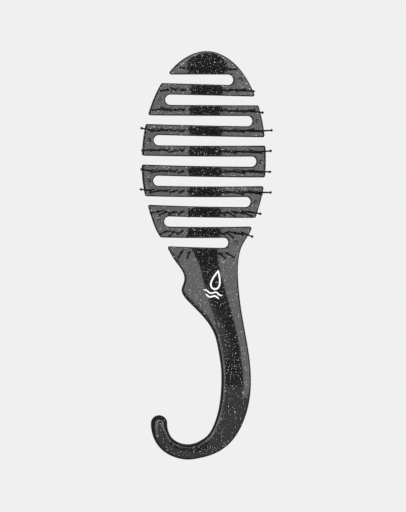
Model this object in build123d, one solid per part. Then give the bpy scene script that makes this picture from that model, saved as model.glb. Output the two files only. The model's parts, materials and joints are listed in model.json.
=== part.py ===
from build123d import *
import os
from math import sin, cos, asin, atan2, radians, degrees, sqrt, pi

# Flexible vented detangling brush, lying on its back with the bristles up.
# Millimetres. +X to the right, +Y towards the tip of the head, +Z up along the bristles.
# The floor is z = 0 and the origin is the centre of the footprint.

# ---- head shell: a shallow arch, its axis along the brush ----
HEAD_TOP_Y = 122.4          # tip of the head
R_OUT = 74.0                # outside of the arch
SHELL_T = 4.2               # thickness of the shell
HALF_W = 37.1               # half of the greatest width
R_IN = R_OUT - SHELL_T
EDGE_DROP = R_IN - sqrt(R_IN**2 - HALF_W**2)   # the long edges rest on the floor
CROWN_Z = EDGE_DROP + SHELL_T                  # top of the arch on the centre line
AXIS_Z = CROWN_Z - R_OUT                       # centre of the arch

# ---- bars and slots: nine slots, open in turn on the left and on the right ----
N_SLOTS = 9
PITCH = 12.04               # from bar to bar
MID_Y = 57.33               # centre line of slot 5
BAR_W = 6.36
SLOT_OPEN, SLOT_SHUT = 5.1, 6.1                # slot width at its mouth and at its closed end
CORNER_R = 1.1              # free corners of the bars
WEB_H = 3.0                 # length of the flexing part of each turn
CAP_EDGE_Y = 108.84         # lower edge of the cap
BASE_EDGE_Y = 5.9           # upper edge of the base bar

# ---- pins ----
PIN_PITCH = 4.56
PIN_SIDE = [3, 5, 6, 7, 7, 7, 7, 6, 5, 3]      # pins on each side of the middle one, row by row
PIN_H = 15.0                # from the shell to the tip of the ball
BALL_R = 0.80
SHAFT_R, NECK_R = 0.58, 0.42
ROW_LEAN = [-1, -1, -1.5, -2, -1, -1.5, -1, 3.5, 4, 5]   # degrees towards the handle, row by row
FOOT_R, SOCKET_R, SOCKET_D = 0.78, 0.83, 2.6

# ---- hanging hook: a round rod bent into a J ----
HOOK_X, HOOK_Y = -7.1, -100.6
HOOK_IN = 12.65             # inside of the bend
ROD_R = 4.6
SEAT_R = 12.9               # cylindrical seat along the inside of the bend
TIP_R = 4.9                 # rounded end of the rod
TIP_A, JOIN_A = 179.0, 300.0                   # the bend runs between these directions, degrees


def head_side(side):
    """Points down one side of the head, from near the tip to the base bar."""
    pts = [(11.7, 118.9), (20.3, 111.6), (26.9, 102.0), (32.3, 89.3), (35.8, 74.5),
           (HALF_W, 57.5), (35.7, 40.0), (31.6, 25.0), (27.2, 14.0)]
    return [(side * x, y) for x, y in pts]


def head_outline():
    """Plan of the head, the base bar and the root of the neck."""
    tip = (0, HEAD_TOP_Y)
    right = Spline([tip] + head_side(1) + [(23.2, 7.5), (21.2, 0.5), (20.7, -7.0)], tangents=[(1, 0), (0, -1)])
    left = Spline([tip] + head_side(-1) + [(-22.4, 6.0), (-20.0, 2.2), (-15.6, -3.9), (-13.2, -7.0)],
                  tangents=[(-1, 0), (0.75, -1)])
    foot = Line((-13.2, -7.0), (20.7, -7.0))
    return make_face([right, foot, left])


def half_width(y):
    """Half of the head's width at y, by straight steps between the side points."""
    pts = [(0, HEAD_TOP_Y)] + head_side(1) + [(23.2, 7.5)]
    for (x0, y0), (x1, y1) in zip(pts, pts[1:]):
        if y1 <= y <= y0:
            return x0 + (x1 - x0) * (y0 - y) / (y0 - y1)
    return 0


def slot_y(k):
    """Centre line of slot k, 1 next to the cap and 9 next to the base bar."""
    if k == 1:
        return CAP_EDGE_Y - (CAP_EDGE_Y - (bar_y(2) + BAR_W / 2)) / 2
    if k == N_SLOTS:
        return BASE_EDGE_Y + (bar_y(9) - BAR_W / 2 - BASE_EDGE_Y) / 2
    return MID_Y + PITCH * (5 - k)


def bar_y(k):
    return MID_Y + PITCH * (5.5 - k)


def shut_side(k):
    """+1 where slot k is closed on the right, -1 where it is closed on the left."""
    return 1 if k % 2 else -1


def web_w(k):
    """Width of the turn that closes slot k. The end turns are the widest."""
    return {1: 8.2, 2: 6.5, 8: 6.4, 9: 9.4}.get(k, 5.8)


def slot_end(k):
    """Signed x of the far end of slot k's round closed end."""
    return shut_side(k) * (half_width(slot_y(k)) - web_w(k))


def arch_z(x, r):
    """Height of the arch of radius r at x."""
    return AXIS_Z + sqrt(r * r - x * x)


def ring(length_from, length_to, r_out, r_in):
    """A tube about the axis of the arch, between two y values."""
    length = length_to - length_from
    plane = Plane(origin=(0, length_from, AXIS_Z), x_dir=(1, 0, 0), z_dir=(0, 1, 0))
    tube = extrude(plane * (Circle(r_out) - Circle(r_in)), length)
    return tube & Pos(0, (length_from + length_to) / 2, 30) * Box(120, length + 2, 60)


def slot_cutter(k):
    """Tapered slot with a full-round closed end, running out past its open side."""
    s, y, end = shut_side(k), slot_y(k), slot_end(k)
    r = SLOT_SHUT / 2
    mouth = -s * (half_width(y) + 6)
    wide = SLOT_OPEN / 2 - (SLOT_SHUT - SLOT_OPEN) / 2 * 6 / (2 * HALF_W)
    cx = end - s * r
    body = make_face(Polyline((cx, y + r), (mouth, y + wide), (mouth, y - wide), (cx, y - r), close=True))
    return extrude(body + Pos(cx, y) * Circle(r), 60, dir=(0, 0, 1))


def web_box(k):
    """The block of space that holds the flexing part of turn k."""
    s, end = shut_side(k), slot_end(k)
    inner = end - s * SLOT_SHUT
    return Pos((inner + s * 60) / 2, slot_y(k), 20) * Box(abs(s * 60 - inner), WEB_H, 60)


def band(y0, y1):
    """The whole width of the head between two y values."""
    return Pos(0, (y0 + y1) / 2, 20) * Box(120, y1 - y0, 60)


def head_shell():
    """The serpentine shell in one piece, before it is divided at the turns."""
    plate = extrude(head_outline(), 60, dir=(0, 0, 1))
    for k in range(1, N_SLOTS + 1):
        plate = plate - slot_cutter(k)
    mouths = []
    for edge in plate.edges():
        p = edge.center()
        if abs(p.Z - 30) > 1:
            continue
        for k in range(1, N_SLOTS + 1):
            near = abs(p.Y - slot_y(k)) < SLOT_SHUT / 2 + 0.6
            if near and -shut_side(k) * p.X > half_width(slot_y(k)) - 4:
                mouths.append(edge)
    plate = fillet(mouths, CORNER_R)
    return plate & ring(-8, HEAD_TOP_Y + 1, R_OUT, R_IN)


def pin_row_y(k):
    if k == 1:
        return 111.9
    return 2.9 if k == 10 else bar_y(k)


def pin_frames(k):
    """A frame on the shell for each pin of row k, its z axis along the pin."""
    slope = 0 if k in (1, 10) else shut_side(k - 1) * radians(0.38)
    frames = []
    for n in range(-PIN_SIDE[k - 1], PIN_SIDE[k - 1] + 1):
        x = n * PIN_PITCH
        y = pin_row_y(k) + x * sin(slope)
        fan = degrees(asin(x / R_OUT)) + 1.6 * sin(5.1 * n + 2.3 * k)
        lean = ROW_LEAN[k - 1] + 3.6 * sin(3.7 * n + 1.9 * k * k)
        frames.append(Pos(x, y, arch_z(x, R_OUT)) * Rot(0, fan, 0) * Rot(lean, 0, 0))
    return frames


def pin():
    """One pin: a foot in the shell, a tapered shaft and a ball tip."""
    top = PIN_H - BALL_R
    shaft = make_face(Polyline((0, -SOCKET_D), (FOOT_R, -SOCKET_D), (FOOT_R, 0.25), (SHAFT_R, 0.6),
                               (NECK_R, top), (0, top), close=True))
    body = revolve(Plane.XZ * shaft, Axis.Z)
    return body + Pos(0, 0, top) * Sphere(BALL_R)


def sockets(k):
    hole = Pos(0, 0, -SOCKET_D / 2 + 1) * Cylinder(SOCKET_R, SOCKET_D + 2)
    return [frame * hole for frame in pin_frames(k)]


def hook_point(radius, angle):
    return (HOOK_X + radius * cos(radians(angle)), HOOK_Y + radius * sin(radians(angle)))


def section(left, right, crown, under, power, bow):
    """Closed handle section between two plan points: a squared oval, bowed across its width."""
    dx, dy = right[0] - left[0], right[1] - left[1]
    half = sqrt(dx * dx + dy * dy) / 2
    mx, my = (left[0] + right[0]) / 2, (left[1] + right[1]) / 2
    mid, tall = (crown + under) / 2, (crown - under) / 2
    pts = []
    for i in range(20):
        t = 2 * pi * i / 20
        c, s = cos(t), sin(t)
        u = half * (abs(c) ** (2 / power)) * (1 if c > 0 else -1)
        z = mid + tall * (abs(s) ** (2 / power)) * (1 if s > 0 else -1) - bow * u * u
        pts.append(Vector(mx + dx / (2 * half) * u, my + dy / (2 * half) * u, z))
    return Wire([Spline(pts, periodic=True)])


def handle_stations():
    """Sections from the start of the hook's bend up to the base bar."""
    rod = 2 * ROD_R
    low, high = TIP_R - ROD_R, TIP_R + ROD_R
    lap = 0.03                                     # the grip swallows the end of the bent rod
    bow = 1 / (2 * R_OUT)
    return [
        section(hook_point(SEAT_R + 0.05, JOIN_A), hook_point(HOOK_IN + rod + lap, JOIN_A),
                high + lap, low - lap, 2, 0),
        section(hook_point(13.1, 317), hook_point(25.0, 317), high + 0.1, low - lap, 2.05, 0),
        section(hook_point(13.5, 332), hook_point(27.1, 332), high + 0.25, low, 2.15, 0),
        section((7.0, -104.0), (22.0, -107.0), 10.0, 0.3, 2.25, 0),
        section((9.6, -97.4), (26.4, -97.4), 10.3, 0.3, 2.35, 0),
        section((11.7, -87.0), (29.0, -87.0), 10.8, 0.4, 2.4, 0),
        section((12.2, -75.0), (29.9, -75.0), 11.5, 0.6, 2.4, 0),
        section((11.3, -63.0), (29.2, -63.0), 12.2, 0.9, 2.4, 0),
        section((8.9, -51.0), (27.3, -51.0), 13.0, 1.3, 2.4, 0),
        section((4.9, -41.3), (25.3, -41.3), 13.6, 1.7, 2.45, 0),
        section((-1.6, -33.6), (23.8, -33.6), 14.0, 2.2, 2.5, 0.1 * bow),
        section((-8.3, -26.6), (22.6, -26.6), 14.3, 2.9, 2.6, 0.3 * bow),
        section((-12.4, -20.0), (21.7, -20.0), 14.5, 3.8, 2.8, 0.5 * bow),
        section((-11.0, -12.2), (20.9, -12.2), 14.7, 5.4, 3.0, 0.8 * bow),
        section((-14.4, -5.5), (20.6, -5.5), CROWN_Z - 0.05, 7.6, 3.4, bow),
        section((-19.2, 1.6), (21.0, 1.6), CROWN_Z - 0.1, 9.6, 4.0, bow),
    ]


def bent_rod():
    """The hook's bend: a round rod with a narrow cylindrical land along its inside, the seat."""
    centre = HOOK_IN + ROD_R
    half = sqrt(ROD_R**2 - (centre - SEAT_R) ** 2)
    plane = Plane(origin=(HOOK_X, HOOK_Y, TIP_R), x_dir=(cos(radians(TIP_A)), sin(radians(TIP_A)), 0),
                  z_dir=(sin(radians(TIP_A)), -cos(radians(TIP_A)), 0))
    land = Line((SEAT_R, -half), (SEAT_R, half))
    back = ThreePointArc((SEAT_R, half), (centre + ROD_R, 0), (SEAT_R, -half))
    return revolve(plane * make_face([land, back]), Axis((HOOK_X, HOOK_Y, 0), (0, 0, 1)), JOIN_A + 6 - TIP_A)


def handle_body(base):
    """Base bar, neck, handle and hanging hook."""
    stations = handle_stations()
    grip = Solid.make_loft(stations[2:]) + Solid.make_loft(stations[:3])
    tip = Pos(*hook_point(SEAT_R + 0.05 + TIP_R, TIP_A), TIP_R) * Sphere(TIP_R)
    return grip + (bent_rod() + tip) + base


os.makedirs("parts", exist_ok=True)
shell = head_shell()
names = ["head_cap"] + [f"head_bar_{k}" for k in range(2, 10)]
edges_y = [HEAD_TOP_Y + 1] + [slot_y(k) for k in range(1, N_SLOTS + 1)] + [-8]

for k in range(1, N_SLOTS + 1):
    web = shell & web_box(k)
    export_step(web, f"parts/flex_turn_{k}.step")

for k in range(1, 11):
    bar = shell & band(edges_y[k], edges_y[k - 1])
    for j in (k - 1, k):
        if 1 <= j <= N_SLOTS:
            bar = bar - web_box(j)
    if k == 10:
        bar = handle_body(bar)
    bar = bar - sockets(k)
    export_step(bar, "parts/handle.step" if k == 10 else f"parts/{names[k - 1]}.step")
    pins = Compound([frame * pin() for frame in pin_frames(k)])
    export_step(pins, f"parts/pin_row_{k}.step")
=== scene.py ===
import bpy
import json
import numpy as np
from math import sin, cos, tan, pi, radians, sqrt, hypot, atan2
from mathutils import Vector, Matrix
from mathutils.geometry import delaunay_2d_cdt

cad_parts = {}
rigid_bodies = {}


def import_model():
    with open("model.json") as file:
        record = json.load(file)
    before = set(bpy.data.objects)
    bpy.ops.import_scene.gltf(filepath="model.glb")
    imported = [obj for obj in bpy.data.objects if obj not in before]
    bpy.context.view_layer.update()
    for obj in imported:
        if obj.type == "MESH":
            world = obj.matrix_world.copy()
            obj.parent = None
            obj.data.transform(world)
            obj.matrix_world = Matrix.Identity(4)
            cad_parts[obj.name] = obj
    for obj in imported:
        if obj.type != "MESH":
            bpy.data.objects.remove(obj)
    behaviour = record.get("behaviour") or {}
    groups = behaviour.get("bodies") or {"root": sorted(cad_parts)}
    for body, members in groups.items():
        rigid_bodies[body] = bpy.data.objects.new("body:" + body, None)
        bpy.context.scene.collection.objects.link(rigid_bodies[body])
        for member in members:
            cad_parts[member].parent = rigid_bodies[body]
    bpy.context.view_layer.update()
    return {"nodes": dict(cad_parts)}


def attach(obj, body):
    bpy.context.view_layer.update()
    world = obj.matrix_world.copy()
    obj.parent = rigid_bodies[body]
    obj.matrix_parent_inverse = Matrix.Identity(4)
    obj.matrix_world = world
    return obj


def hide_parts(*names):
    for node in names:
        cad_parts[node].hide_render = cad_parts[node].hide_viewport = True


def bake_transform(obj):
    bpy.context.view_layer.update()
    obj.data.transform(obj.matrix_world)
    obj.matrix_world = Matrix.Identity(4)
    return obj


for old in list(bpy.data.objects):
    bpy.data.objects.remove(old)
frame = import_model()
MM = 0.001

# ---------------------------------------------------------------- sizes, in mm
# The head: an arched shell with nine slots, open on the left and right in turn.
R_OUT, SHELL_T, HALF_W = 74.0, 4.2, 37.1
R_IN = R_OUT - SHELL_T
CROWN = SHELL_T + R_IN - sqrt(R_IN**2 - HALF_W**2)   # height of the arch's top over its lower rims
ARCH_Z = CROWN - R_OUT                               # height of the arch's axis
TOP_Y, PITCH, MID_Y, BAR_W = 122.4, 12.04, 57.33, 6.36
SLOT_OPEN, SLOT_SHUT, CORNER_R = 5.1, 6.1, 1.1       # a slot's width at its mouth and at its closed end
CAP_EDGE, BASE_EDGE, BASE_CUT = 108.84, 5.9, 2.4     # cap's lower edge, base bar's upper edge, grip's start
TURN_W, OTHER_TURN_W = {1: 8.2, 2: 6.5, 8: 6.4, 9: 9.4}, 5.8     # from a slot's closed end to the side
EDGE, FULL_ROUND = 0.95, 0.98                        # bars' edge rounding; share of the grip that is rim
CAP_FLAT, CAP_FROM, CAP_TO = 0.35, 104, 112          # how much flatter the cap is, and where that begins
# The hook: a rod bent round one centre; directions from it are in degrees.
HOOK_X, HOOK_Y, HOOK_Z = -7.1, -100.6, 4.9
HOOK_OUT_R, HOOK_MID_R, HOOK_IN_R = 21.85, 17, 12.72
BEND_TIP, BEND_OUT_ROOT, BEND_IN_ROOT = 180, 280, 300
TIP_SWELL, SWELL_FROM, SWELL_TO = 0.75, 258, 212
SEAT_SWELL, SEAT_AT, SEAT_REACH = 0.38, 223, 22.0
ROD_TOP_R, ROD_RIM = 30, 0.42                        # radius of the rod's flattened top, its rim's share
ROD_FROM_Y, ROD_FULL, ROD_NONE = -75, 275, 345       # below this y, where its section is full, and gone
END_FROM, END_FULL = 206, 182                        # where the rod's end becomes rounder
# The grip: a rounded top whose height and depth change down the handle, as (amount, from y, to y).
GRIP_FROM, GRIP_TO = 12, -6                          # the arch becomes the grip between these
GRIP_R, GRIP_REACH, UNDER_SHARE, GRIP_FLOOR = 43, 12, 0.35, 0.2
CROWN_FALLS = ((1.1, 10, -70), (0.9, -20, -66), (3.1, -76, -112))
GRIP_DEPTH = ((6.6, 6, -30), (-1.5, -30, -66))
RIM_FROM, RIM_TO = 3.5, -30                          # the rim grows to the grip's between these
RIM_GROWTH = ((0.35, RIM_FROM, RIM_TO), (0.9, 110.5, 115))
# The round ejector marks, one on each turn.
MARK_IN, OTHER_MARK_IN = {1: 3.9, 9: 4.3}, 2.9       # distance from the slot's end
MARK_DEPTH, MARK_R, MARK_RIM = 0.28, 0.75, 1.15


def bar_y(k):
    """Middle of cross bar k, counted from the tip."""
    return MID_Y + PITCH * (5.5 - k)


def slot_y(k):
    """Middle of slot k, which lies below bar k."""
    if k == 1:
        return (CAP_EDGE + bar_y(2) + BAR_W / 2) / 2
    if k == 9:
        return (BASE_EDGE + bar_y(9) - BAR_W / 2) / 2
    return MID_Y + PITCH * (5 - k)


def shut(k):
    """+1 where slot k is closed on the right, -1 where it is closed on the left."""
    return 1 if k % 2 else -1


def smooth(a, b, t):
    """0 where t is a, 1 where it is b, and smooth between."""
    u = np.clip((t - a) / (b - a), 0, 1)
    return u * u * (3 - 2 * u)


def ramps(parts, y):
    """Sum of smooth steps along y, each given as (amount, from y, to y)."""
    return sum(amount * smooth(a, b, y) for amount, a, b in parts)


# ---------------------------------------------------------------- plan outline
# Points down the head's side, the handle's right side, and its left side with the finger notch.
TIP, BASE = (0, TOP_Y), (23.2, 7.5)
SIDE = [(11.7, 118.9), (20.3, 111.6), (26.9, 102.0), (32.3, 89.3), (35.8, 74.5),
        (HALF_W, 57.5), (35.7, 40.0), (31.6, 25.0), (27.2, 14.0)]
BACK = [BASE, (21.2, 0.5), (20.7, -7.0), (21.6, -18.9), (23.7, -33.3), (26.5, -47.6), (29.0, -62.0),
        (29.9, -75.0), (29.0, -87.2), (25.8, -99.2), (20.2, -109.5), (12.6, -116.5), (4.6, -120.3)]
FINGER = [(-21.8, 6.0), (-17.3, -1.6), (-12.2, -8.7), (-11.0, -12.4), (-11.9, -17.1), (-12.5, -20.1),
          (-11.4, -23.1), (-7.3, -27.8), (-2.5, -32.5), (3.7, -39.6), (7.5, -46.4), (10.1, -56.3),
          (11.8, -67.0), (12.1, -77.0), (11.1, -89.7), (8.6, -99.8), (3.2, -108.9)]
PROBE, GAP = 3, 0.4              # how far a slot's corner looks along its side, and what it leaves free
THIN = 4                         # spline samples to one point of the outline


def hook_out(a):
    """Outer radius of the hook's bend at direction a; the rod thickens towards its end."""
    return HOOK_OUT_R + TIP_SWELL * smooth(SWELL_FROM, SWELL_TO, a)


def hook_in(a):
    """Inner radius of the hook's bend at direction a, a little wider at its seat."""
    return HOOK_IN_R + SEAT_SWELL * np.exp(-((a - SEAT_AT) / SEAT_REACH) ** 2)


def around(radius, a0, a1, step):
    """Points round the hook's centre from direction a0 to a1."""
    a = np.linspace(a0, a1, int(abs(a1 - a0) / 180 * pi * HOOK_MID_R / step) + 1)
    r = radius(a)
    return np.stack([HOOK_X + r * np.cos(np.radians(a)), HOOK_Y + r * np.sin(np.radians(a))], 1)


def spline(points, first=None, last=None, step=0.25):
    """Natural cubic through the points by chord length, sampled evenly; an end may be given a direction."""
    p = np.array(points, float)
    h = np.hypot(*np.diff(p, axis=0).T)
    s = np.concatenate([[0], np.cumsum(h)])
    n, slope = len(p), np.diff(p, axis=0) / h[:, None]
    a, rhs = np.zeros((n, n)), np.zeros((n, 2))
    for i in range(1, n - 1):
        a[i, i - 1:i + 2] = h[i], 2 * (h[i - 1] + h[i]), h[i - 1]
        rhs[i] = 3 * (h[i] * slope[i - 1] + h[i - 1] * slope[i])
    for i, j, way, chord in ((0, 1, first, slope[0]), (n - 1, n - 2, last, slope[-1])):
        a[i, i] = 1 if way else 2
        if way:
            rhs[i] = np.array(way) / hypot(*way)
        else:
            a[i, j], rhs[i] = 1, 3 * chord
    m = np.linalg.solve(a, rhs)
    t = np.linspace(0, s[-1], int(s[-1] / step) + 1)
    i = np.clip(np.searchsorted(s, t, side="right") - 1, 0, n - 2)
    u, hh = ((t - s[i]) / h[i])[:, None], h[i][:, None]
    return (p[i] * (1 + 2 * u) * (1 - u) ** 2 + p[i + 1] * u * u * (3 - 2 * u)
            + hh * m[i] * u * (1 - u) ** 2 - hh * m[i + 1] * u * u * (1 - u))


bend_out = around(hook_out, BEND_OUT_ROOT, BEND_TIP, 0.9)
bend_in = around(hook_in, BEND_TIP, BEND_IN_ROOT, 0.8)
right_edge = spline([TIP] + SIDE + BACK + [tuple(bend_out[0])], first=(1, 0), last=(-0.985, -0.174))
left_edge = spline([TIP] + [(-x, y) for x, y in SIDE] + FINGER + [tuple(bend_in[-1])],
                   first=(-1, 0), last=(-0.866, -0.5))


def half_width(y):
    """Half of the head's width at y, by straight lines between its side's points."""
    pts = [TIP] + SIDE + [BASE]
    for (x0, y0), (x1, y1) in zip(pts, pts[1:]):
        if y1 <= y <= y0:
            return x0 + (x1 - x0) * (y0 - y) / (y0 - y1)


def slot_end(k):
    """x of the far end of slot k's round closed end."""
    return shut(k) * (half_width(slot_y(k)) - TURN_W.get(k, OTHER_TURN_W))


def arc(cx, cy, r, a0, a1, step):
    """Points about step apart on a circle, from a0 to a1 degrees."""
    t = np.radians(np.linspace(a0, a1, max(3, int(radians(abs(a1 - a0)) * r / step) + 1)))
    return np.stack([cx + r * np.cos(t), cy + r * np.sin(t)], 1)


def run(p, q, step=1.1):
    """Points between p and q, without its ends."""
    t = np.linspace(0, 1, max(1, int(hypot(q[0] - p[0], q[1] - p[1]) / step)) + 1)[1:-1, None]
    return np.array(p) * (1 - t) + np.array(q) * t


def corner(p, c, q):
    """Rounded corner at c, coming from p and leaving for q."""
    a, b = (p - c) / np.linalg.norm(p - c), (q - c) / np.linalg.norm(q - c)
    half = np.arccos(np.clip(a @ b, -1, 1)) / 2
    mid = c + (a + b) / np.linalg.norm(a + b) * CORNER_R / sin(half)
    ends = (c + a * CORNER_R / tan(half), c + b * CORNER_R / tan(half))
    a0, a1 = (atan2(end[1] - mid[1], end[0] - mid[0]) for end in ends)
    t = np.linspace(a0, a0 + (a1 - a0 + pi) % (2 * pi) - pi, 8)
    return mid + CORNER_R * np.stack([np.cos(t), np.sin(t)], 1)


def at_y(edge, y):
    """The edge's point that is nearest to y."""
    return edge[np.argmin(abs(edge[:, 1] - y))]


def slot_path(k, edge):
    """Way into slot k from its upper corner, round its closed end and out past its lower corner."""
    s, y, r = shut(k), slot_y(k), SLOT_SHUT / 2
    cx = slot_end(k) - s * r
    ends = []
    for side in (1, -1):
        rim = at_y(edge, y + side * SLOT_OPEN / 2)
        ends.append((np.array([cx, y + side * r]), rim, at_y(edge, rim[1] + side * PROBE)))
    (wall_a, rim_a, far_a), (wall_b, rim_b, far_b) = ends
    up, down = corner(far_a, rim_a, wall_a), corner(wall_b, rim_b, far_b)
    turn = arc(cx, y, r, 90, -90 if s > 0 else 270, 0.55)
    return np.vstack([up, run(up[-1], turn[0]), turn, run(turn[-1], down[0]), down])


def side_path(edge, slots):
    """Down one side from just below the tip, in and out of the slots that open on it."""
    parts, y = [], TOP_Y - 0.02
    for k in slots:
        path = slot_path(k, edge)
        keep = edge[(edge[:, 1] <= y) & (edge[:, 1] >= path[0, 1] + GAP)]
        parts += [keep[::THIN], path]
        y = path[-1, 1] - GAP
    parts.append(edge[edge[:, 1] <= y][::THIN])
    return np.vstack(parts)


def outline():
    """The whole plan outline, clockwise from the tip of the head."""
    out, near = hook_out(BEND_TIP), hook_in(BEND_TIP)
    end = arc(HOOK_X - (out + near) / 2, HOOK_Y, (out - near) / 2, 180, 0, 0.5)
    right, left = side_path(right_edge, (2, 4, 6, 8)), side_path(left_edge, (1, 3, 5, 7, 9))
    return np.vstack([[TIP], right, bend_out[1:-1], end, bend_in[1:-1], left[::-1]])


# ---------------------------------------------------------------- heights
CROWN_LINE = spline([(0.0, 14), (2.4, 0), (10.6, -28.5), (17.3, -53), (19.6, -68), (20.4, -80),
                     (18.6, -95), (14, -106)])


def grip_share(y):
    """0 in the head's arch, 1 in the handle's rounder section."""
    return smooth(GRIP_FROM, GRIP_TO, y)


def crown_x(y):
    """x of the grip's highest line."""
    return np.interp(-y, -CROWN_LINE[:, 1], CROWN_LINE[:, 0])


def bearing(x, y):
    """Direction of a point from the hook's centre, from 0 to 360 degrees."""
    return np.degrees(np.arctan2(y - HOOK_Y, x - HOOK_X)) % 360


def hook_half(x, y):
    """Half of the rod's width beside a point of the bend."""
    a = bearing(x, y)
    a = np.where(a < 90, BEND_TIP, np.clip(a, BEND_TIP, BEND_IN_ROOT))
    return (hook_out(a) - hook_in(a)) / 2


def off_middle(x, y):
    """Distance from the middle line of the rod, or from the centre of its end."""
    a = bearing(x, y)
    along = np.clip(a, BEND_TIP, BEND_IN_ROOT)
    mid = (hook_out(along) + hook_in(along)) / 2
    tip = np.hypot(x - HOOK_X + mid, y - HOOK_Y)
    return np.where((a < BEND_TIP) & (x < HOOK_X), tip, np.hypot(x - HOOK_X, y - HOOK_Y) - mid)


def rod_share(x, y):
    """0 in the handle, 1 in the hook's rod."""
    a = bearing(x, y)
    return np.where((y < ROD_FROM_Y) & (a > 90), 1 - smooth(ROD_FULL, ROD_NONE, a), 0)


def rounded(d):
    """Fall of the grip's round top at d from its crown, going on straight from GRIP_REACH outwards."""
    near = np.minimum(abs(d), GRIP_REACH)
    return near**2 / (2 * GRIP_R) + (abs(d) - near) * GRIP_REACH / GRIP_R


def blended(x, y, head, grip, rod):
    """A height that passes from the head's to the grip's and then to the hook's rod."""
    w, v = grip_share(y), rod_share(x, y)
    z = head * (1 - w) + grip * w
    return z * (1 - v) + rod * v


def top_z(x, y):
    """Height of the upper surface."""
    flat = CAP_FLAT * smooth(CAP_FROM, CAP_TO, y)
    arch = ARCH_Z + np.sqrt(R_OUT**2 - x**2) * (1 - flat) + R_OUT * flat
    head = arch - CAP_FLAT * x**2 / (2 * R_OUT) * flat
    grip = CROWN - ramps(CROWN_FALLS, y) - rounded(x - crown_x(y))
    rod = HOOK_Z + hook_half(x, y) - off_middle(x, y) ** 2 / (2 * ROD_TOP_R)
    return blended(x, y, head, grip, rod)


def under_z(x, y):
    """Height of the lower surface."""
    head = ARCH_Z + np.sqrt(R_IN**2 - x**2)
    thick = SHELL_T + ramps(GRIP_DEPTH, y)
    grip = CROWN - ramps(CROWN_FALLS[:1], y) - thick - UNDER_SHARE * rounded(x - crown_x(y))
    rod = HOOK_Z - hook_half(x, y) + off_middle(x, y) ** 2 / (2 * ROD_TOP_R)
    return blended(x, y, head, np.maximum(grip, GRIP_FLOOR), rod)


def edge_width(x, y):
    """How far the edge rounding reaches in from the outline."""
    grip = EDGE + ramps(RIM_GROWTH, y)
    v = smooth(0.0, 1.0, rod_share(x, y))
    end = np.where(x < HOOK_X, smooth(END_FROM, END_FULL, bearing(x, y)), 0)
    return grip * (1 - v) + (ROD_RIM + ROD_RIM * end) * hook_half(x, y) * v


def edge_share(y):
    """How much of half the thickness the edge rounding takes: part in the head, nearly all in the grip."""
    head = 2 * EDGE / SHELL_T
    return head + (FULL_ROUND - head) * smooth(RIM_FROM, RIM_TO, y)


MARKS = []
for k in range(1, 10):
    MARKS.append((slot_end(k) + shut(k) * MARK_IN.get(k, OTHER_MARK_IN), slot_y(k)))


def dimple(x, y):
    """Depth of the ejector marks."""
    z = np.zeros_like(x)
    for mx, my in MARKS:
        z += MARK_DEPTH * (1 - smooth(MARK_R, MARK_RIM, np.hypot(x - mx, y - my)))
    return z


# ---------------------------------------------------------------- moulding
RINGS = 7                        # faces across each edge rounding
STEP, ROW_STEP = 1.25, 0.87      # spacing of the inner points, and of their rows as a share of it
MARK_CLEAR, RIM_CLEAR = 1.6, 0.55    # room left round each mark's middle, and along the outline
MARK_RINGS = ((0.4, 8), (MARK_R, 14), (0.88, 16), (1.02, 16), (MARK_RIM, 16))   # radius and points of each


def inward(loop):
    """Unit normals of a clockwise loop, pointing into it."""
    t = np.roll(loop, -1, 0) - np.roll(loop, 1, 0)
    t /= np.linalg.norm(t, axis=1)[:, None]
    return np.stack([t[:, 1], -t[:, 0]], 1)


def inside(pts, loop, gap):
    """Which points lie in the loop and further than gap from it."""
    ok = np.zeros(len(pts), bool)
    a, b = loop, np.roll(loop, -1, 0)
    for i, (x, y) in enumerate(pts):
        hit = (a[:, 1] > y) != (b[:, 1] > y)
        cross = (b[hit, 0] - a[hit, 0]) * (y - a[hit, 1]) / (b[hit, 1] - a[hit, 1]) + a[hit, 0]
        ok[i] = (cross > x).sum() % 2 and np.hypot(*(a - (x, y)).T).min() > gap
    return ok


def inner_points(loop):
    """A triangular grid of points in the loop, with rings of points round each ejector mark."""
    lo, hi = loop.min(0), loop.max(0)
    rows = np.arange(lo[1], hi[1], STEP * ROW_STEP)
    across = np.arange(lo[0], hi[0], STEP)
    field = np.array([(x + (i % 2) * STEP / 2, y) for i, y in enumerate(rows) for x in across])
    for mx, my in MARKS:
        field = field[np.hypot(field[:, 0] - mx, field[:, 1] - my) > MARK_CLEAR]
    for mx, my in MARKS:
        ring = [(mx, my)]
        for r, n in MARK_RINGS:
            turns = [2 * pi * (j + r) / n for j in range(n)]
            ring += [(mx + r * cos(turn), my + r * sin(turn)) for turn in turns]
        field = np.vstack([field, ring])
    return field[inside(field, loop, RIM_CLEAR)]


def flat_mesh(loop):
    """Triangles that fill the loop, numbered with the loop's points first and then the inner ones."""
    field, n = inner_points(loop), len(loop)
    edges = [(i, (i + 1) % n) for i in range(n)]
    pts = [Vector(p) for p in np.vstack([loop, field])]
    _, _, faces, source, _, _ = delaunay_2d_cdt(pts, edges, [], 1, 1e-7)
    tris = [tuple(source[i][0] for i in f) for f in faces]
    return field, [t for t in tris if len(set(t)) == 3]


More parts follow.
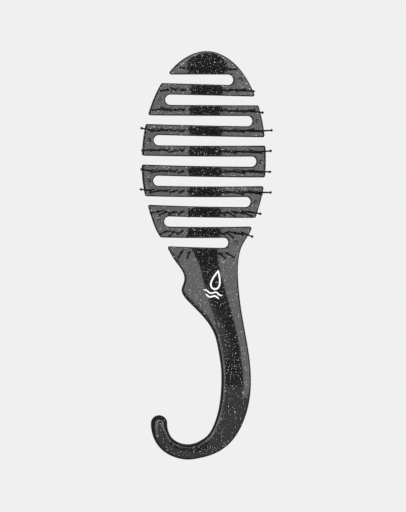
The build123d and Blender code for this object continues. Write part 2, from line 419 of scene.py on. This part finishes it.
def moulding():
    """The whole body as vertices and faces: rounded rims round an arched sheet."""
    loop = outline()
    n, way = len(loop), inward(loop)
    x, y = loop.T
    width = edge_width(x, y)
    drop = (top_z(x, y) - under_z(x, y)) / 2 * edge_share(y)
    verts, faces = [], []
    angle = np.radians(np.linspace(0, 90, RINGS + 1))
    for surface, sign in ((top_z, -1), (under_z, 1)):
        for a in (angle[::-1] if sign < 0 else angle):
            p = loop + way * (width * (1 - cos(a)))[:, None]
            z = surface(*p.T) + sign * drop * (1 - sin(a))
            verts.append(np.column_stack([p, z]))
    verts = np.vstack(verts)
    rings = 2 * RINGS + 2
    for ring in range(rings - 1):
        for i in range(n):
            j = (i + 1) % n
            faces.append((ring * n + i, ring * n + j, (ring + 1) * n + j, (ring + 1) * n + i))
    field, tris = flat_mesh(verts[:n, :2])
    top = np.column_stack([field, top_z(*field.T) - dimple(*field.T)])
    under = np.column_stack([field, under_z(*field.T)])
    skip = (rings - 1) * n
    faces += [tuple(i if i < n else skip + i for i in t) for t in tris]
    faces += [tuple(skip + i if i < n else skip + len(field) + i for i in reversed(t)) for t in tris]
    return np.vstack([verts, top, under]), faces


def vertex_normals(verts, faces):
    """Normals at the vertices, from the faces round each one, weighted by their angles."""
    normals = np.zeros_like(verts)
    tri = np.array([t for f in faces for t in ((f[0], f[1], f[2]), (f[0], f[2], f[-1]))])
    tri = tri[(tri[:, 1] != tri[:, 2]) & (tri[:, 0] != tri[:, 2])]
    a, b, c = verts[tri].transpose(1, 0, 2)
    face = np.cross(b - a, c - a)
    area = np.linalg.norm(face, axis=1)
    for corner_of, p, q in ((0, b - a, c - a), (1, c - b, a - b), (2, a - c, b - c)):
        bend = np.arctan2(area, (p * q).sum(1))
        np.add.at(normals, tri[:, corner_of], face / np.maximum(area, 1e-12)[:, None] * bend[:, None])
    return normals / np.maximum(np.linalg.norm(normals, axis=1), 1e-12)[:, None]


def piece(name, verts, faces, normals, material):
    """A smooth object in metres, from those of the vertices in mm that its faces use."""
    used = np.unique([i for f in faces for i in f])
    new = np.full(len(verts), -1)
    new[used] = np.arange(len(used))
    mesh = bpy.data.meshes.new(name)
    mesh.from_pydata((verts[used] * MM).tolist(), [], [[int(new[i]) for i in f] for f in faces])
    mesh.shade_smooth()
    mesh.normals_split_custom_set_from_vertices(normals[used].tolist())
    mesh.materials.append(material)
    obj = bpy.data.objects.new(name, mesh)
    bpy.context.scene.collection.objects.link(obj)
    return obj


# ---------------------------------------------------------------- materials
FLECK_LEAN, FLECK_TONE = 1.0, 0.68
BIG_FLECKS, SMALL_FLECKS = (1350.0, 0.11, 0.25), (2600.0, 0.17, 0.27)    # scale, share of cells, reach


def nodes_of(name):
    """A new material and its empty node tree."""
    mat = bpy.data.materials.new(name)
    mat.use_nodes = True
    tree = mat.node_tree
    tree.nodes.clear()
    return mat, tree


def add(tree, kind, inputs=None, **props):
    """A node whose inputs are links or set values."""
    node = tree.nodes.new(kind)
    for key, value in props.items():
        setattr(node, key, value)
    for key, value in (inputs or {}).items():
        socket = node.inputs[key]
        if isinstance(value, bpy.types.NodeSocket):
            tree.links.new(value, socket)
        else:
            socket.default_value = value
    return node


def flecks(tree, where, scale, share, reach):
    """A scatter of small flecks: where they are, and which way each one leans."""
    cell = add(tree, "ShaderNodeTexVoronoi", {"Vector": where, "Scale": scale}, feature="F1")
    chance = add(tree, "ShaderNodeSeparateColor", {"Color": cell.outputs["Color"]})
    lit = add(tree, "ShaderNodeMath", {0: chance.outputs["Red"], 1: share}, operation="LESS_THAN")
    near = add(tree, "ShaderNodeMath", {0: cell.outputs["Distance"], 1: reach}, operation="LESS_THAN")
    mask = add(tree, "ShaderNodeMath", {0: lit.outputs[0], 1: near.outputs[0]}, operation="MULTIPLY")
    again = add(tree, "ShaderNodeTexWhiteNoise", {"Vector": cell.outputs["Position"]})
    centre = (0.5, 0.5, 0.5)
    lean = add(tree, "ShaderNodeVectorMath", {0: again.outputs["Color"], 1: centre}, operation="SUBTRACT")
    return mask.outputs[0], lean.outputs[0]


def glitter_plastic():
    """Black moulded plastic with fine silver flecks at random angles under its own clear gloss."""
    mat, tree = nodes_of("glitter_plastic")
    where = add(tree, "ShaderNodeTexCoord").outputs["Object"]
    big, lean_big = flecks(tree, where, *BIG_FLECKS)
    small, lean_small = flecks(tree, where, *SMALL_FLECKS)
    mask = add(tree, "ShaderNodeMath", {0: big, 1: small}, operation="MAXIMUM").outputs[0]
    lean = add(tree, "ShaderNodeMix", {0: big, 4: lean_small, 5: lean_big}, data_type="VECTOR").outputs[1]
    face = add(tree, "ShaderNodeNewGeometry").outputs["Normal"]
    wide = add(tree, "ShaderNodeVectorMath", {0: lean, "Scale": FLECK_LEAN}, operation="SCALE")
    turned = add(tree, "ShaderNodeVectorMath", {0: face, 1: wide.outputs[0]}, operation="ADD")
    angled = add(tree, "ShaderNodeVectorMath", {0: turned.outputs[0]}, operation="NORMALIZE").outputs[0]
    normal = add(tree, "ShaderNodeMix", {0: mask, 4: face, 5: angled}, data_type="VECTOR").outputs[1]
    cloud = add(tree, "ShaderNodeTexNoise", {"Vector": where, "Scale": 220.0, "Detail": 3.0}).outputs["Fac"]
    deep = add(tree, "ShaderNodeMapRange", {"Value": cloud, "To Min": 0.010, "To Max": 0.017})
    tone = add(tree, "ShaderNodeMix", {0: mask, 2: deep.outputs[0], 3: FLECK_TONE}).outputs[0]
    bump = add(tree, "ShaderNodeBump", {"Height": cloud, "Strength": 0.03, "Distance": 0.0004})
    body = add(tree, "ShaderNodeBsdfPrincipled", {
        "Base Color": tone, "Metallic": mask, "Roughness": 0.30, "Normal": normal,
        "Specular IOR Level": 0.0, "Coat Weight": 1.0, "Coat Roughness": 0.09, "Coat IOR": 1.5,
        "Coat Normal": bump.outputs[0]})
    add(tree, "ShaderNodeOutputMaterial", {"Surface": body.outputs[0]})
    return mat


def pin_nylon():
    """Smooth black nylon with a faint moulded unevenness."""
    mat, tree = nodes_of("pin_nylon")
    where = add(tree, "ShaderNodeTexCoord").outputs["Object"]
    noise = add(tree, "ShaderNodeTexNoise", {"Vector": where, "Scale": 900.0, "Detail": 3.0}).outputs["Fac"]
    rough = add(tree, "ShaderNodeMapRange", {"Value": noise, "To Min": 0.30, "To Max": 0.42})
    bump = add(tree, "ShaderNodeBump", {"Height": noise, "Strength": 0.1, "Distance": 0.0001})
    body = add(tree, "ShaderNodeBsdfPrincipled", {
        "Base Color": (0.006, 0.006, 0.007, 1), "Specular IOR Level": 0.3,
        "Roughness": rough.outputs[0], "IOR": 1.45, "Normal": bump.outputs[0]})
    add(tree, "ShaderNodeOutputMaterial", {"Surface": body.outputs[0]})
    return mat


def white_ink():
    """Pad-printing ink, slightly uneven."""
    mat, tree = nodes_of("white_ink")
    where = add(tree, "ShaderNodeTexCoord").outputs["Object"]
    noise = add(tree, "ShaderNodeTexNoise", {"Vector": where, "Scale": 2500.0, "Detail": 4.0}).outputs["Fac"]
    tone = add(tree, "ShaderNodeMapRange", {"Value": noise, "To Min": 0.72, "To Max": 0.92})
    body = add(tree, "ShaderNodeBsdfPrincipled", {"Base Color": tone.outputs[0], "Roughness": 0.45})
    add(tree, "ShaderNodeOutputMaterial", {"Surface": body.outputs[0]})
    return mat


black, nylon, ink = glitter_plastic(), pin_nylon(), white_ink()

# ---------------------------------------------------------------- the body, divided for its joints
verts, faces = moulding()
normals = vertex_normals(verts, faces)
cuts = [bar_y(k) for k in range(2, 10)] + [BASE_CUT]
level = np.array([verts[list(f), 1].mean() for f in faces])
share = np.searchsorted(-np.array(cuts), -level)
for k in range(1, 11):
    mine = [f for f, s in zip(faces, share) if s == k - 1]
    if k < 10:
        obj = piece(f"head_turn_{k}", verts, mine, normals, black)
        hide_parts("head_cap" if k == 1 else f"head_bar_{k}", f"flex_turn_{k}")
        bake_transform(obj)
    else:
        obj = piece("grip", verts, mine, normals, black)
        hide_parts("handle")
        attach(obj, "handle")

for k in range(1, 11):
    node = frame["nodes"][f"pin_row_{k}"]
    node.data.materials.clear()
    node.data.materials.append(nylon)

# ---------------------------------------------------------------- printed mark: a plain drop over two ripples
PRINT_X, PRINT_Y, PRINT_TILT, INK_PROUD = 7.2, -14.2, radians(-12), 0.03
DROP_W, DROP_H, DROP_UP, DROP_LINE = 3.7, 5.8, 1.4, 0.5
RIPPLE_Y, RIPPLE_PITCH, RIPPLE_WAVE, RIPPLE_LINE = -6.6, 2.3, 0.6, 0.45
RIPPLE_HALVES = (6.0, 4.3)       # half lengths of the two ripples


def stroke(points, half):
    """A flat ribbon along a line of plan points, narrow at both ends."""
    p = np.array(points)
    t = np.gradient(p, axis=0)
    t /= np.linalg.norm(t, axis=1)[:, None]
    side = np.stack([-t[:, 1], t[:, 0]], 1)
    w = half * np.clip(np.sin(np.linspace(0.12, pi - 0.12, len(p))) * 2.2, 0.15, 1)[:, None]
    return p + side * w, p - side * w


def printed_mark():
    """The drop and its ripples as thin ribbons, just proud of the handle's top."""
    u = np.linspace(0, 2 * pi, 65)
    drop = np.stack([DROP_W * np.sin(u) * np.sin(u / 2) ** 1.5, DROP_H * np.cos(u) + DROP_UP], 1)
    lines = [(drop, DROP_LINE)]
    for i, half in enumerate(RIPPLE_HALVES):
        s = np.linspace(-half, half, 33)
        lines.append((np.stack([s, RIPPLE_Y - RIPPLE_PITCH * i + RIPPLE_WAVE * np.sin(s)], 1), RIPPLE_LINE))
    rot = np.array([[cos(PRINT_TILT), -sin(PRINT_TILT)], [sin(PRINT_TILT), cos(PRINT_TILT)]])
    vs, fs = [], []
    for line, half in lines:
        a, b = stroke(line @ rot.T + (PRINT_X, PRINT_Y), half)
        n, at = len(a), len(vs)
        for p in np.vstack([a, b]):
            vs.append((*p, float(top_z(np.array([p[0]]), np.array([p[1]]))[0]) + INK_PROUD))
        fs += [(at + i, at + n + i, at + n + i + 1, at + i + 1) for i in range(n - 1)]
    vs = np.array(vs)
    return piece("printed_mark", vs, fs, vertex_normals(vs, fs), ink)


mark = printed_mark()
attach(mark, "handle")

# ---------------------------------------------------------------- studio, in metres
PALE = 0.871                     # tone of the ground and the wall
FLOOR_Z, FLOOR_HALF = -0.065, 4
BOX_Z, KEY_GLOW, FAR_GLOW, FILL_GLOW = 0.6, 2.7, 4.0, 0.6
WALL_GLOW, WALL_HIGH, WALL_LOW = 0.09, 0.75, 0.45    # the glow, and the heights where it starts, is full
scene = bpy.context.scene
scene.view_settings.view_transform = "Standard"
scene.view_settings.look = "None"


def floor():
    """Plain pale ground of the wall's tone, clear from below."""
    mat, tree = nodes_of("pale_floor")
    glow = add(tree, "ShaderNodeEmission", {"Color": (PALE, PALE, PALE, 1)})
    clear = add(tree, "ShaderNodeBsdfTransparent")
    below = add(tree, "ShaderNodeNewGeometry").outputs["Backfacing"]
    mix = add(tree, "ShaderNodeMixShader", {0: below, 1: glow.outputs[0], 2: clear.outputs[0]})
    add(tree, "ShaderNodeOutputMaterial", {"Surface": mix.outputs[0]})
    mesh = bpy.data.meshes.new("floor")
    corners = [(FLOOR_HALF * x, FLOOR_HALF * y, FLOOR_Z) for x, y in ((-1, -1), (1, -1), (1, 1), (-1, 1))]
    mesh.from_pydata(corners, [], [(0, 1, 2, 3)])
    mesh.materials.append(mat)
    obj = bpy.data.objects.new("floor", mesh)
    scene.collection.objects.link(obj)
    obj.visible_glossy = obj.visible_diffuse = obj.visible_shadow = False


def soft_box(name, across, along, glow):
    """A level soft box over the table, from across[0] to across[1] in X and along[0] to along[1] in Y."""
    data = bpy.data.lights.new(name, "AREA")
    data.shape, data.size, data.size_y = "RECTANGLE", across[1] - across[0], along[1] - along[0]
    data.energy = glow * pi * data.size * data.size_y
    obj = bpy.data.objects.new(name, data)
    obj.location = (sum(across) / 2, sum(along) / 2, BOX_Z)
    obj.visible_camera = False
    scene.collection.objects.link(obj)


def studio_world():
    """A wall that is pale to the camera and dark overhead to all else, with a faint glow low down."""
    world = bpy.data.worlds.new("studio")
    world.use_nodes = True
    tree = world.node_tree
    tree.nodes.clear()
    seen = add(tree, "ShaderNodeLightPath").outputs["Is Camera Ray"]
    way = add(tree, "ShaderNodeTexCoord").outputs["Generated"]
    up = add(tree, "ShaderNodeSeparateXYZ", {0: way}).outputs["Z"]
    low = add(tree, "ShaderNodeMapRange", {
        "Value": up, "From Min": WALL_HIGH, "From Max": WALL_LOW, "To Max": WALL_GLOW})
    tone = add(tree, "ShaderNodeMix", {0: seen, 2: low.outputs[0], 3: PALE}).outputs[0]
    glow = add(tree, "ShaderNodeBackground", {"Color": tone})
    add(tree, "ShaderNodeOutputWorld", {"Surface": glow.outputs[0]})
    return world


floor()
scene.world = studio_world()
soft_box("softbox_left", (-1.05, -0.12), (-0.29, 0.55), KEY_GLOW)
soft_box("softbox_right", (0.225, 1.45), (-0.29, 0.55), KEY_GLOW)
soft_box("softbox_far", (-0.7, 0.9), (0.56, 0.95), FAR_GLOW)
soft_box("fill_near", (-0.9, 1.0), (-1.1, -0.30), FILL_GLOW)
soft_box("fill_gap", (-0.119, 0.224), (-0.299, -0.175), FILL_GLOW)

# ---------------------------------------------------------------- camera
EYE, TARGET = Vector((-0.107, 0.097, 1.3)), Vector((-0.00024, 0.00085, 0.010))
TURN, LENS, SENSOR = radians(0.87), 102.1, 24
data = bpy.data.cameras.new("camera")
camera = bpy.data.objects.new("camera", data)
scene.collection.objects.link(camera)
camera.location = EYE
back = (EYE - TARGET).normalized()
right = Vector((0, 1, 0)).cross(back).normalized()
up = back.cross(right)
right, up = right * cos(TURN) + up * sin(TURN), up * cos(TURN) - right * sin(TURN)
camera.rotation_euler = Matrix((right, up, back)).transposed().to_euler()
data.sensor_fit, data.sensor_height, data.sensor_width = "VERTICAL", SENSOR, SENSOR
data.lens = LENS
data.clip_start = 0.05
scene.camera = camera
